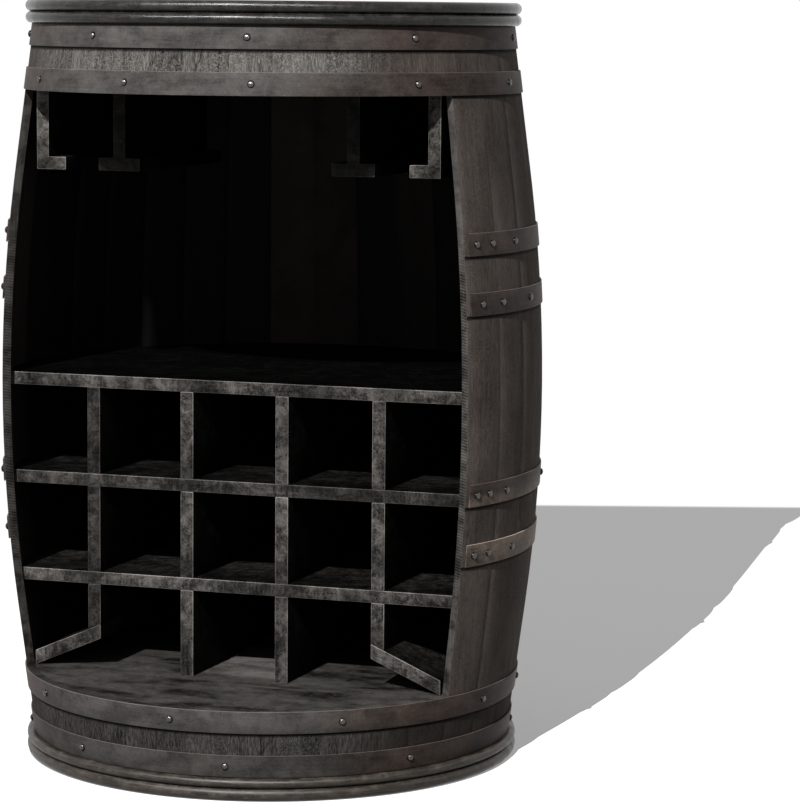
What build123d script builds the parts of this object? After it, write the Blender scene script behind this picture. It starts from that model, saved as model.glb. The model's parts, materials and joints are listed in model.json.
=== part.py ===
"""Cask drinks cabinet.

A bilged cask of 34 staves stands upright.  Twelve staves are cut short above and below an
opening in the front.  Behind the opening, a half-lapped bottle rack stands on the floor, and
stemware rails hang from the serving top.  Eight riveted hoops bind the cask.

Each stave is flat across its width and bent along its length, so the cask is many-sided, and
hoops, beads and round boards are made with the same sides.  A radius is measured to the middle
of a side.

Origin: centre of the flat base, on the ground.  +Z is up and -Y is the open front.
"""
from build123d import *
from math import cos, pi, radians, sin, sqrt, tan
import os

# ---------------------------------------------------------------- driving dimensions, mm
# Cask form: an arc round the bilge, running into straight tapers at both ends.
height = 900.0
bilge_radius = 324.0
bilge_height = 440.0
bilge_arc_radius = 2000.0
bilge_arc_half = 260.0        # the arc reaches this far above and below the bilge

stave_count = 34              # an even number
opening_staves = 12           # staves cut away for the opening
stave_thickness = 10.0
stave_joint = 0.3             # open joint between two staves

# Serving top and base
top_thickness = 13.7
top_planks = 5
plank_joint = 0.3
base_thickness = 15.5
batten_thickness = 22.0
batten_width = 40.0
batten_spacing = 190.0        # centre to centre, front to back

# Beads: half-round strips bent round the top and the foot
bead_depth = 10.0
top_bead_height = 13.7
foot_bead_height = 10.8
bead_joint = 0.5
bead_seat = 0.1               # between a bead's back and what it is bent round
nose_sides = 4                # flats round a bead's nose

# Opening and floor
opening_drop = 104.8          # top of the cask down to the opening
floor_top = 105.0
floor_thickness = 15.0
bearer_thickness = 18.0
bearer_spacing = 300.0

# Hoops
hoop_width = 26.0
hoop_thickness = 2.0
hoop_seat = 0.1               # between the staves and a hoop
top_hoop_drop = 40.6          # top of the cask down to the top hoop's middle
foot_hoop_rise = 40.0         # ground up to the bottom hoop's middle
open_hoop_rises = (187.3, 119.5, -99.4, -169.3)     # bilge to an open hoop's middle
open_hoop_setback = 6.0       # jamb to the end of an open hoop

# Rivets: angles are in degrees
rivet_radius = 4.3
rivet_crown = 2.3             # radius of the head's crown
rivet_rise = 3.2
rivet_seat = 0.05
rivet_sides = 8
rivet_pitch = 38.0            # where the rivets are evenly spaced
full_hoop_rivet_angles = {    # from the middle of the front
    "hoop_1": (-65.0, -24.5, 14.5, 53.5, 96.0),
    "hoop_2": (-45.5, -14.0, 15.5, 53.5, 88.0),
    "hoop_7": (-42.5, -2.5, 36.0, 76.5, 104.0),
    "hoop_8": (-63.0, -28.5, 10.0, 53.5, 103.5),
}
open_hoop_rivet_angles = (    # from a hoop's end, in the order of the rises above
    (2.4, 7.8, 17.4),
    (3.4, 10.6, 24.2),
    (2.1, 6.2, 12.6, 40.7),
    (2.1, 7.1, 16.9),
)

# Bottle rack
rack_front = 130.0            # cask axis to the rack's front plane
cell_width = 103.0
cell_height = 103.0
shelf_thickness = 15.0
divider_thickness = 16.0
lap_depth = 190.0             # front plane back to the middle of the half-laps
lap_clearance = 0.2
slant_angle = 23.5
slant_thickness = 16.0

# Stemware rails
rail_length = 260.0
rail_thickness = 15.0
rail_drop = 199.0             # top of the cask down to the underside of the rails' feet
side_rail_inset = 74.0        # bilge to the outer face of a side rail
side_rail_foot = 37.0
rail_spacing = 105.0          # outer face of a side rail to the middle of the next rail
mid_rail_foot = 52.0

fit = 0.5                     # between the staves and the boards that are cut to them

# ---------------------------------------------------------------- derived sizes
stave_angle = 360 / stave_count
jamb_angle = stave_angle * opening_staves / 2
arc_low = bilge_height - bilge_arc_half
arc_high = bilge_height + bilge_arc_half
top_underside = height - top_thickness
opening_top = height - opening_drop
floor_underside = floor_top - floor_thickness
divider_pitch = cell_width + divider_thickness
shelf_pitch = cell_height + shelf_thickness
divider_places = [divider_pitch * step for step in (-1.5, -0.5, 0.5, 1.5)]
shelf_undersides = [floor_top + cell_height + shelf_pitch * row for row in range(3)]
rack_top = shelf_undersides[-1]
lap_y = lap_depth - rack_front
beyond = 2 * bilge_radius     # clear of everything

os.makedirs("parts", exist_ok=True)


def outer_radius(z):
    """Radius of the staves' outer face at a height."""
    rise = abs(z - bilge_height)
    along = min(rise, bilge_arc_half)
    flank = sqrt(bilge_arc_radius**2 - along**2)
    taper = (rise - along) * bilge_arc_half / sqrt(bilge_arc_radius**2 - bilge_arc_half**2)
    return bilge_radius - (bilge_arc_radius - flank) - taper


def inner_radius(z):
    """Radius of the staves' inner face at a height."""
    return outer_radius(z) - stave_thickness


def flank_line(z_low, z_high, offset):
    """Draw the staves' outer line between two heights, moved outwards by offset."""
    breaks = [z for z in (arc_low, arc_high) if z_low < z < z_high]
    stops = [z_low, *breaks, z_high]
    for low, high in zip(stops, stops[1:]):
        start = (outer_radius(low) + offset, low)
        end = (outer_radius(high) + offset, high)
        middle = (low + high) / 2
        if arc_low < middle < arc_high:
            ThreePointArc(start, (outer_radius(middle) + offset, middle), end)
        else:
            Line(start, end)


def front_wedge(half_angle, tip, z_low, z_high, mode):
    """Add or cut a wedge about the front, with its tip this far in front of the axis."""
    side = beyond * tan(radians(half_angle))
    with BuildSketch(Plane.XY.offset(z_low)) as outline:
        Polygon((0, -tip), (side, -tip - beyond), (-side, -tip - beyond), align=None)
    extrude(outline.sketch, amount=z_high - z_low, mode=mode)


def stave_blank(z_low, z_high):
    """Make one stave with its middle at the front."""
    side = radians(stave_angle / 2)
    with BuildPart() as blank:
        with BuildSketch(Plane(origin=(0, 0, 0), x_dir=(0, -1, 0), z_dir=(-1, 0, 0))) as section:
            with BuildLine():
                flank_line(z_low, z_high, 0)
                flank_line(z_low, z_high, -stave_thickness)
                Line((inner_radius(z_low), z_low), (outer_radius(z_low), z_low))
                Line((inner_radius(z_high), z_high), (outer_radius(z_high), z_high))
            make_face()
        extrude(section.sketch, amount=bilge_radius * tan(side), both=True)
        front_wedge(stave_angle / 2, stave_joint / 2 / sin(side), z_low, z_high, Mode.INTERSECT)
    return blank.part


def set_stave(blank, place):
    """Add a stave.  Place 0 is the first one past the middle of the front, towards +X."""
    with Locations(Rotation(0, 0, stave_angle * (place + 0.5))):
        add(blank)


def many_sided(*levels, mode=Mode.ADD):
    """Add or cut a many-sided solid through levels, each a radius and a height."""
    outlines = []
    for radius, z in levels:
        with BuildSketch(Plane.XY.offset(z)) as outline:
            RegularPolygon(radius, stave_count, major_radius=False, rotation=-90)
        outlines.append(outline.sketch)
    loft(outlines, ruled=True, mode=mode)


def board(x_low, x_high, y_low, y_high, z_low, z_high, mode=Mode.ADD):
    """Add a square-edged board between its limits."""
    with BuildSketch(Plane.XY.offset(z_low)) as outline:
        with Locations(((x_low + x_high) / 2, (y_low + y_high) / 2)):
            Rectangle(x_high - x_low, y_high - y_low)
    extrude(outline.sketch, amount=z_high - z_low, mode=mode)


def write(builder, name):
    """Label a finished piece and write it to its own file."""
    builder.part.label = name
    export_step(builder.part, f"parts/{name}.step")


# ---------------------------------------------------------------- staves
full_stave = stave_blank(base_thickness, top_underside)
for number in range(stave_count - opening_staves):
    with BuildPart() as stave:
        set_stave(full_stave, opening_staves // 2 + number)
    write(stave, f"stave_{number + 1:02d}")

for name, z_low, z_high in (
    ("short_staves_top", opening_top, top_underside),
    ("short_staves_bottom", base_thickness, floor_top),
):
    short_stave = stave_blank(z_low, z_high)
    with BuildPart() as short_staves:
        for place in range(-opening_staves // 2, opening_staves // 2):
            set_stave(short_stave, place)
    write(short_staves, name)

# Space inside the staves, less the fit: boards are cut to it.  A slab lies between each pair
# of opposite sides, and the space is what all the slabs share.
with BuildPart() as inner_slab:
    with BuildSketch(Plane.XZ):
        with BuildLine():
            flank_line(base_thickness, top_underside, -stave_thickness - fit)
            Line((0, base_thickness), (inner_radius(base_thickness) - fit, base_thickness))
            Line((0, top_underside), (inner_radius(top_underside) - fit, top_underside))
            Line((0, base_thickness), (0, top_underside))
        make_face()
        mirror(about=Plane.YZ)
    extrude(amount=beyond, both=True)

with BuildPart() as inner_space:
    for step in range(stave_count // 2):
        mode = Mode.INTERSECT if step else Mode.ADD
        add(inner_slab.part, rotation=(0, 0, stave_angle * (step + 0.5) - 90), mode=mode)

# ---------------------------------------------------------------- hoops and rivets
hoop_heights = {
    "hoop_1": height - top_hoop_drop,
    "hoop_2": opening_top + hoop_width / 2,
    "hoop_7": floor_top - hoop_width / 2,
    "hoop_8": foot_hoop_rise,
}
open_hoop_heights = [bilge_height + rise for rise in open_hoop_rises]
hoop_outer = hoop_seat + hoop_thickness


def hoop_ring(middle):
    """Add a hoop, straight across its width, at the height of its middle."""
    low = middle - hoop_width / 2
    high = middle + hoop_width / 2
    many_sided((outer_radius(low) + hoop_outer, low), (outer_radius(high) + hoop_outer, high))
    many_sided((outer_radius(low) + hoop_seat, low), (outer_radius(high) + hoop_seat, high),
               mode=Mode.SUBTRACT)


for name, middle in hoop_heights.items():
    with BuildPart() as hoop:
        hoop_ring(middle)
    write(hoop, name)

open_start = jamb_angle + 360 * open_hoop_setback / (2 * pi * bilge_radius)
for number, middle in enumerate(open_hoop_heights, start=3):
    with BuildPart() as open_hoop:
        hoop_ring(middle)
        front_wedge(open_start, 0, middle - hoop_width, middle + hoop_width, Mode.SUBTRACT)
    write(open_hoop, f"hoop_{number}")

with BuildPart() as rivet_head:
    with BuildSketch():
        RegularPolygon(rivet_radius, rivet_sides)
    with BuildSketch(Plane.XY.offset(rivet_rise)):
        RegularPolygon(rivet_crown, rivet_sides)
    loft()


def spread(first, last, pitch):
    """Angles between two rivets, evenly spaced at about a pitch, without the two ends."""
    gaps = max(1, round((last - first) / pitch))
    return [first + (last - first) * step / gaps for step in range(1, gaps)]


def rivet(angle, middle):
    """Add a rivet, seated square on the side of a hoop that it is driven through."""
    side = (angle // stave_angle + 0.5) * stave_angle
    below = outer_radius(middle - hoop_width / 2)
    above = outer_radius(middle + hoop_width / 2)
    radius = ((below + above) / 2 + hoop_outer) / cos(radians(angle - side))
    facing = Vector(sin(radians(side)), -cos(radians(side)), (below - above) / hoop_width)
    place = Vector(radius * sin(radians(angle)), -radius * cos(radians(angle)), middle)
    with Locations(Plane(origin=place + facing.normalized() * rivet_seat, z_dir=facing)):
        add(rivet_head.part)


with BuildPart() as full_hoop_rivets:
    for name, angles in full_hoop_rivet_angles.items():
        for angle in (*angles, *spread(angles[-1], angles[0] + 360, rivet_pitch)):
            rivet(angle, hoop_heights[name])
write(full_hoop_rivets, "full_hoop_rivets")

with BuildPart() as open_hoop_rivets:
    for middle, steps in zip(open_hoop_heights, open_hoop_rivet_angles):
        near = [open_start + step for step in steps]
        far = [360 - angle for angle in near]
        for angle in (*near, *spread(near[-1], far[-1], rivet_pitch), *far):
            rivet(angle, middle)
write(open_hoop_rivets, "open_hoop_rivets")

# ---------------------------------------------------------------- serving top and its battens
top_radius = outer_radius(top_underside)
plank_width = 2 * top_radius / top_planks
with BuildPart() as serving_top:
    many_sided((top_radius, top_underside), (top_radius, height))
    for step in range(1, top_planks):
        seam = plank_width * (step - top_planks / 2)
        board(-beyond, beyond, seam - plank_joint / 2, seam + plank_joint / 2,
              top_underside, height, mode=Mode.SUBTRACT)
write(serving_top, "serving_top")

batten_low = top_underside - batten_thickness
for name, middle in (("batten_front", -batten_spacing / 2), ("batten_back", batten_spacing / 2)):
    reach = sqrt((inner_radius(top_underside) - fit)**2 - (abs(middle) + batten_width / 2)**2)
    with BuildPart() as batten:
        board(-reach, reach, middle - batten_width / 2, middle + batten_width / 2,
              batten_low, top_underside)
    write(batten, name)

# ---------------------------------------------------------------- base, floor and bearers
base_radius = outer_radius(base_thickness)
with BuildPart() as base_panel:
    many_sided((base_radius, 0), (base_radius, base_thickness))
write(base_panel, "base_panel")


def fitted_disc(z_low, z_high):
    """Add a round board whose edge is bevelled to the inside of the staves."""
    board(-beyond, beyond, -beyond, beyond, z_low, z_high)
    add(inner_space.part, mode=Mode.INTERSECT)


with BuildPart() as floor_panel:
    fitted_disc(floor_underside, floor_top)
write(floor_panel, "floor_panel")

for name, middle in (("bearer_left", -bearer_spacing / 2), ("bearer_right", bearer_spacing / 2)):
    reach = sqrt((inner_radius(base_thickness) - fit)**2 - (abs(middle) + bearer_thickness / 2)**2)
    with BuildPart() as bearer:
        board(middle - bearer_thickness / 2, middle + bearer_thickness / 2, -reach, reach,
              base_thickness, floor_underside)
    write(bearer, name)

# ---------------------------------------------------------------- beads
def bead_back(z):
    """Radius of a bead's back at a height, against the staves or a panel's edge."""
    return outer_radius(min(max(z, base_thickness), top_underside)) + bead_seat


def bead(z_low, z_high, outer, joint):
    """Add a half-round bead, cut through at its joint."""
    nose = (z_high - z_low) / 2
    turns = [radians(180 * step / nose_sides - 90) for step in range(nose_sides + 1)]
    many_sided(*[(outer - nose + nose * cos(t), z_low + nose + nose * sin(t)) for t in turns])
    many_sided((bead_back(z_low), z_low), (bead_back(z_high), z_high), mode=Mode.SUBTRACT)
    with BuildSketch(Plane.XY.offset(z_low)) as cut:
        with PolarLocations(outer, 1, start_angle=joint - 90):
            Rectangle(3 * bead_depth, bead_joint)
    extrude(cut.sketch, amount=z_high - z_low, mode=Mode.SUBTRACT)


top_bead_outer = top_radius + bead_depth
foot_bead_outer = base_radius + bead_depth
bead_list = (
    ("bead_top_upper", height - top_bead_height, height, top_bead_outer, 75),
    ("bead_top_lower", height - 2 * top_bead_height, height - top_bead_height, top_bead_outer, 58),
    ("bead_foot_upper", base_thickness, base_thickness + foot_bead_height, foot_bead_outer, 118),
    ("bead_foot_lower", 0, base_thickness, foot_bead_outer, 140),
)
for name, z_low, z_high, outer, joint in bead_list:
    with BuildPart() as bead_strip:
        bead(z_low, z_high, outer, joint)
    write(bead_strip, name)

# ---------------------------------------------------------------- bottle rack
def divider_slots(z_low, z_high):
    """Cut the slots that take the dividers' back halves out of a shelf."""
    half = divider_thickness / 2 + lap_clearance
    for place in divider_places:
        board(place - half, place + half, lap_y - lap_clearance / 2, beyond,
              z_low, z_high, mode=Mode.SUBTRACT)


for name, z_low in zip(("shelf_lower", "shelf_middle", "shelf_top"), shelf_undersides):
    z_high = z_low + shelf_thickness
    with BuildPart() as shelf:
        fitted_disc(z_low, z_high)
        board(-beyond, beyond, -beyond, -rack_front, z_low, z_high, mode=Mode.SUBTRACT)
        if z_low < rack_top:
            divider_slots(z_low, z_high)
    write(shelf, name)

# Slanted boards: each stands on the floor at its outer edge and carries an outer divider.
slant_rise = slant_thickness / cos(radians(slant_angle))
slant_outer = sqrt((inner_radius(floor_top) - fit)**2 - rack_front**2)
slant_inner = divider_places[-1] - divider_thickness / 2
slant_high = floor_top + (slant_outer - slant_inner) * tan(radians(slant_angle))


def slant_board(side, lift, depth, mode=Mode.ADD):
    """Add a slanted board, or cut away the space from its underside to a lift above it."""
    with BuildSketch(Plane.XZ.offset(rack_front)) as section:
        Polygon(
            (side * slant_inner, slant_high),
            (side * slant_outer, floor_top),
            (side * slant_outer, floor_top + slant_rise + lift),
            (side * slant_inner, slant_high + slant_rise + lift),
            align=None,
        )
    extrude(section.sketch, amount=-depth, mode=mode)


for name, side in (("slant_left", -1), ("slant_right", 1)):
    with BuildPart() as slant:
        slant_board(side, 0, 2 * rack_front)
    write(slant, name)

for number, place in enumerate(divider_places, start=1):
    half = divider_thickness / 2
    outermost = abs(place) > divider_pitch
    z_foot = slant_high if outermost else floor_top
    with BuildPart() as divider:
        board(place - half, place + half, -rack_front, beyond, z_foot, rack_top)
        add(inner_space.part, mode=Mode.INTERSECT)
        if outermost:
            slant_board(place / abs(place), lap_clearance, beyond, mode=Mode.SUBTRACT)
        for z_low in shelf_undersides[:-1]:
            board(place - half, place + half, -rack_front, lap_y + lap_clearance / 2,
                  z_low - lap_clearance, z_low + shelf_thickness + lap_clearance,
                  mode=Mode.SUBTRACT)
    write(divider, f"divider_{number}")

# ---------------------------------------------------------------- stemware rails
rail_foot_low = height - rail_drop
rail_web_low = rail_foot_low + rail_thickness
side_rail_outer = bilge_radius - side_rail_inset
mid_rail_centre = side_rail_outer - rail_spacing


def rail(web_low_x, web_high_x, foot_low_x, foot_high_x):
    """Add a rail: an upright web under the battens, with a foot along its lower edge."""
    rail_back = rail_length - rack_front
    board(web_low_x, web_high_x, -rack_front, rail_back, rail_web_low, batten_low)
    board(foot_low_x, foot_high_x, -rack_front, rail_back, rail_foot_low, rail_web_low)
    add(inner_space.part, mode=Mode.INTERSECT)


for name, side in (("side_rail_left", -1), ("side_rail_right", 1)):
    web = sorted((side * side_rail_outer, side * (side_rail_outer - rail_thickness)))
    foot = sorted((side * side_rail_outer, side * (side_rail_outer - side_rail_foot)))
    with BuildPart() as side_rail:
        rail(*web, *foot)
    write(side_rail, name)

for name, side in (("mid_rail_left", -1), ("mid_rail_right", 1)):
    middle = side * mid_rail_centre
    with BuildPart() as mid_rail:
        rail(middle - rail_thickness / 2, middle + rail_thickness / 2,
             middle - mid_rail_foot / 2, middle + mid_rail_foot / 2)
    write(mid_rail, name)
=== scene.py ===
"""Cask drinks cabinet: its finished pieces and their materials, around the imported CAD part.

Lengths are in metres.  +Z is up, -Y is the open front, and the cask's axis is the Z axis.
"""

import json
import math

import bmesh
import bpy
from mathutils import Matrix, Vector

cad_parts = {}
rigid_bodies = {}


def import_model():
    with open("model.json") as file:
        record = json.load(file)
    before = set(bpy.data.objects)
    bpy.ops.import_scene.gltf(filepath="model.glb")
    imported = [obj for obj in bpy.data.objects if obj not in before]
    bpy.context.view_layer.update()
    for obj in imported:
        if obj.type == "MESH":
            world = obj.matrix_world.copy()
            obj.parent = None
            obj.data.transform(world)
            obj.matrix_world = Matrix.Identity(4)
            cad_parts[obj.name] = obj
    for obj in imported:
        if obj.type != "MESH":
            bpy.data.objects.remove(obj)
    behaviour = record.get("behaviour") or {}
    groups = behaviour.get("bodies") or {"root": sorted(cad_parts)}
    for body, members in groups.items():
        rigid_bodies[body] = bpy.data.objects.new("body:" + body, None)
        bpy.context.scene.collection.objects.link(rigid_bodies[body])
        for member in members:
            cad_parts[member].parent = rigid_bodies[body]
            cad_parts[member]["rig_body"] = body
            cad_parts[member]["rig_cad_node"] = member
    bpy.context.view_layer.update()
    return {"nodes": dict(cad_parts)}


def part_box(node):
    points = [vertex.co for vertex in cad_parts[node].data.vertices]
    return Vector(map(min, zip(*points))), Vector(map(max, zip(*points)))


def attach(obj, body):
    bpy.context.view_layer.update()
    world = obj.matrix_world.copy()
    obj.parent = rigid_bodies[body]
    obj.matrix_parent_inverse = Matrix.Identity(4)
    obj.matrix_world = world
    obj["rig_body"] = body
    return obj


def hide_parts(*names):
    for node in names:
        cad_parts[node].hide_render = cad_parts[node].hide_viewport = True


bl_info = {
    "name": "Cask drinks cabinet",
    "version": (1, 0, 0),
    "blender": (4, 5, 0),
    "location": "3D View > Sidebar > Cask",
    "description": "Staves, hoops, beads, bottle rack and finishes of a cask drinks cabinet",
    "category": "Object",
}

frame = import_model()

# ---------------------------------------------------------------- sizes read from the frame
CASK_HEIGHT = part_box("serving_top")[1].z
TOP_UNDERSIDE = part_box("serving_top")[0].z
BASE_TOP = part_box("base_panel")[1].z
FLOOR_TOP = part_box("floor_panel")[1].z
OPENING_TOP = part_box("short_staves_top")[0].z
RACK_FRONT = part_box("shelf_top")[0].y

STAVE_COUNT = 34
STAVE_TURN = 2 * math.pi / STAVE_COUNT
TOP_PLANKS = 5
STAVE_NODES = [f"stave_{number:02d}" for number in range(1, 23)]
OPEN_HOOPS = [f"hoop_{number}" for number in range(3, 7)]
FULL_HOOPS = ["hoop_1", "hoop_2", "hoop_7", "hoop_8"]
SHELVES = ["shelf_lower", "shelf_middle", "shelf_top"]
DIVIDERS = ["divider_1", "divider_2", "divider_3", "divider_4"]
SLANTS = ["slant_left", "slant_right"]
SIDE_RAILS = ["side_rail_left", "side_rail_right"]
MID_RAILS = ["mid_rail_left", "mid_rail_right"]
BATTENS = ["batten_front", "batten_back"]
BEAD_JOINTS = {"bead_top_upper": 75, "bead_top_lower": 58,      # where each bead's ends meet,
               "bead_foot_upper": 118, "bead_foot_lower": 140}  # in degrees from the front

FULL_STEPS = 170          # steps of a spin all the way round
OPEN_STEPS = 120          # steps of a hoop that ends at the opening
STAVE_STEPS = 4           # steps across a stave
STAVE_ROWS = 26           # rows along a full stave
SHORT_ROWS = 4            # rows along a short stave
NOSE_SEGMENTS = 7         # segments in each half of a bead's nose
ROLL_SEGMENTS = 3         # segments in a hoop's rolled edge
EDGE_SEGMENTS = 2         # segments in a rubbed edge
HEAD_SEGMENTS = 14
HEAD_RINGS = 10
HOOP_SEAT = 0.0001        # from the staves to a hoop
BEAD_SEAT = 0.0001        # from the staves to a bead
RIVET_SINK = 0.0001       # how deep a rivet's head is set into its hoop
MERGE = 0.00001           # corners nearer than this are one corner
NEAR = 0.0005             # how close to a place a corner has to be to count as on it
CLEAR = 0.001             # how far from a place a corner has to be to count as off it
RISE = 0.002              # the least rise of an edge that runs up the cask
SLOPE_STEP = 0.01         # step up and down over which the staves' slope is measured
SOFT_ANGLE = 35           # faces that meet at less than this, in degrees, are shaded as one
DOME_ANGLE = 50           # the same for rivets and beads
SHARP_ANGLE = 32          # an edge of a board that turns more than this is rubbed round
FLAT_ANGLE = 1            # faces that turn less than this are one face
FACING = 0.3              # how far a stave's face looks in or out to be its lining or front


# ---------------------------------------------------------------- settings shown in the panel
def length(name, description, default):
    return bpy.props.FloatProperty(
        name=name, description=description, default=default, unit="LENGTH")


def tint(name, description, default):
    return bpy.props.FloatVectorProperty(
        name=name, description=description, default=default, subtype="COLOR")


class CaskSizes(bpy.types.PropertyGroup):
    """Sizes of the cask's pieces."""

    bilge_radius: length("Bilge radius", "Radius of the staves at the widest place", 0.324)
    bilge_height: length("Bilge height", "Height of the widest place", 0.44)
    bilge_arc: length("Bilge arc", "Radius of the staves' bow", 2.0)
    bilge_reach: length("Bow's reach", "How far the bow runs above and below the bilge", 0.26)
    stave_thickness: length("Stave thickness", "Thickness of a stave", 0.01)
    stave_joint: length(
        "Stave joint", "Open joint between two staves that aren't driven tight", 0.0)
    stave_edge: length("Stave edge", "Width of the bevel along a stave's edges", 0.0004)
    hoop_thickness: length("Hoop thickness", "Thickness of a hoop", 0.002)
    hoop_edge: length("Hoop edge", "Radius of a hoop's rolled edge", 0.0006)
    board_edge: length("Board edge", "Radius of a board's rubbed edge", 0.0009)
    rivet_radius: length("Rivet radius", "Radius of a rivet's head", 0.0043)
    rivet_rise: length("Rivet rise", "Height of a rivet's head", 0.0031)
    bead_joint: length("Bead joint", "Open joint between the ends of a bead", 0.0006)


class CaskColours(bpy.types.PropertyGroup):
    """Colours of the cask's finishes."""

    stave: tint("Staves", "Stained oak of the staves' outer faces", (0.185, 0.172, 0.160))
    # darker than the front as painted shade, and browner
    side: tint(
        "Stave sides", "Browner stain of the staves beside and behind the opening",
        (0.130, 0.108, 0.096))
    lining: tint("Lining", "Blackened inside of the cask", (0.011, 0.009, 0.0082))
    rack: tint("Rack", "Worn black boards of the bottle rack", (0.091, 0.0843, 0.0788))
    rail: tint("Rails", "Stemware rails", (0.115, 0.107, 0.098))
    deck: tint("Floor board", "Floor board of the cask", (0.060, 0.056, 0.052))
    bead: tint("Beads", "Lacquered beads round the top and the foot", (0.011, 0.0101, 0.0093))
    hoop: tint("Hoops", "Blackened iron of the hoops", (0.117, 0.1095, 0.104))
    # darker than the front as painted shade, and browner
    hoop_side: tint(
        "Hoop sides", "Browner iron beside and behind the opening", (0.088, 0.068, 0.060))
    bead_foot: tint(
        "Foot beads", "Browner lacquer of the beads round the foot", (0.025, 0.0205, 0.0165))
    rust: tint("Rust", "Brown bloom on the hoops", (0.13, 0.092, 0.074))
    bare_iron: tint("Bare iron", "Tan end of a hoop that has lost its black", (0.36, 0.285, 0.235))
    rivet: tint("Rivets", "Darkened steel of the rivets", (0.072, 0.069, 0.066))


def sizes():
    return bpy.context.scene.cask_sizes


def colours():
    return bpy.context.scene.cask_colours


def outer_radius(z):
    """Radius of the staves' outer face at a height."""
    size = sizes()
    rise = abs(z - size.bilge_height)
    along = min(rise, size.bilge_reach)
    flank = math.sqrt(size.bilge_arc**2 - along**2)
    slope = size.bilge_reach / math.sqrt(size.bilge_arc**2 - size.bilge_reach**2)
    return size.bilge_radius - (size.bilge_arc - flank) - (rise - along) * slope


# ---------------------------------------------------------------- modelling by hand
def deselect():
    if bpy.context.object is not None and bpy.context.object.mode != "OBJECT":
        bpy.ops.object.mode_set(mode="OBJECT")
    bpy.ops.object.select_all(action="DESELECT")


def take(*pieces):
    """Select these pieces alone, the last one active."""
    deselect()
    for piece in pieces:
        piece.select_set(True)
    bpy.context.view_layer.objects.active = pieces[-1]


def settle(piece):
    """Put a piece's place, turn and scale into its mesh."""
    take(piece)
    bpy.ops.object.transform_apply(location=True, rotation=True, scale=True)
    return piece


def choose(piece, kind, test):
    """In edit mode, select the corners, edges or faces that pass a test."""
    bpy.ops.mesh.select_mode(type=kind)
    bpy.ops.mesh.select_all(action="DESELECT")
    mesh = bmesh.from_edit_mesh(piece.data)
    mesh.normal_update()
    parts = {"VERT": mesh.verts, "EDGE": mesh.edges, "FACE": mesh.faces}[kind]
    for part in parts:
        if test(part):
            part.select_set(True)
    mesh.select_flush_mode()
    bmesh.update_edit_mesh(piece.data)


def middle(edge):
    return (edge.verts[0].co + edge.verts[1].co) / 2


def upright(edge):
    """Whether an edge runs up the cask, and not round it or through its side."""
    return abs(edge.verts[0].co.z - edge.verts[1].co.z) > RISE


def close_up():
    """In edit mode, merge doubles and turn all faces outwards."""
    bpy.ops.mesh.select_all(action="SELECT")
    bpy.ops.mesh.remove_doubles(threshold=MERGE)
    bpy.ops.mesh.normals_make_consistent(inside=False)


def smooth(piece, angle=SOFT_ANGLE):
    take(piece)
    bpy.ops.object.shade_smooth_by_angle(angle=math.radians(angle))


def seat(piece, finish, slot, *nodes):
    """Give a finished piece its finish and its place in the frame."""
    if finish is not None:
        piece.data.materials.clear()
        piece.data.materials.append(finish)
    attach(piece, "root")
    if nodes:
        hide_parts(*nodes)


def copied(piece, name):
    """A copy of a piece with its own mesh."""
    twin = piece.copy()
    twin.data = piece.data.copy()
    twin.name = twin.data.name = name
    bpy.context.scene.collection.objects.link(twin)
    return twin


def discard(piece):
    mesh = piece.data
    bpy.data.objects.remove(piece)
    bpy.data.meshes.remove(mesh)


def strip(name, low, high, depth, at):
    """An upright strip in the YZ plane, from `at` inwards by a depth, ready to be spun."""
    deselect()
    bpy.ops.mesh.primitive_plane_add(
        size=1, location=(0, depth / 2 - at, (low + high) / 2), rotation=(0, math.pi / 2, 0))
    piece = bpy.context.object
    piece.name = piece.data.name = name
    piece.scale = (high - low, depth, 1)
    return settle(piece)


def shift(piece, test, by):
    """In edit mode, move the corners that pass a test."""
    choose(piece, "VERT", test)
    bpy.ops.transform.translate(value=by)


def spin_arc(piece, start, end, steps):
    """In edit mode, spin a strip's faces round the cask between two angles, from the front."""
    bpy.ops.object.mode_set(mode="OBJECT")
    turn(piece, start)
    bpy.ops.object.mode_set(mode="EDIT")
    bpy.ops.mesh.select_all(action="SELECT")
    bpy.ops.mesh.spin(steps=steps, angle=start - end, center=(0, 0, 0), axis=(0, 0, 1))
    close_up()


def turn(piece, angle):
    """Turn a piece round the cask's axis, towards +X from the front."""
    piece.rotation_euler.z = angle
    return settle(piece)


def bearing(point):
    """Angle of a point round the cask, from the middle of the front towards +X."""
    return math.atan2(point.x, -point.y)


def solids(node):
    """Corners of each separate solid in a CAD node."""
    mesh = bmesh.new()
    mesh.from_mesh(frame["nodes"][node].data)
    bmesh.ops.remove_doubles(mesh, verts=mesh.verts, dist=MERGE)
    reached, found = set(), []
    for start in mesh.verts:
        corners, waiting = [], [start]
        while waiting:
            corner = waiting.pop()
            if corner not in reached:
                reached.add(corner)
                corners.append(corner.co.copy())
                waiting.extend(edge.other_vert(corner) for edge in corner.link_edges)
        if corners:
            found.append(corners)
    mesh.free()
    return sorted(found, key=lambda corners: (round(mean(corners).z, 4), bearing(mean(corners))))


def mean(points):
    return sum(points, Vector()) / len(points)


# ---------------------------------------------------------------- materials
class Wire:
    """A socket that adds Math nodes when it is used in a sum."""

    def __init__(self, finish, socket):
        self.finish, self.socket = finish, socket

    def __add__(self, other):
        return self.finish.sum("ADD", self, other)

    def __sub__(self, other):
        return self.finish.sum("SUBTRACT", self, other)

    def __mul__(self, other):
        return self.finish.sum("MULTIPLY", self, other)

    def __truediv__(self, other):
        return self.finish.sum("DIVIDE", self, other)

    def __radd__(self, other):
        return self.finish.sum("ADD", other, self)

    def __rsub__(self, other):
        return self.finish.sum("SUBTRACT", other, self)

    def __rmul__(self, other):
        return self.finish.sum("MULTIPLY", other, self)

    def __lt__(self, other):
        return self.finish.sum("LESS_THAN", self, other)


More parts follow.
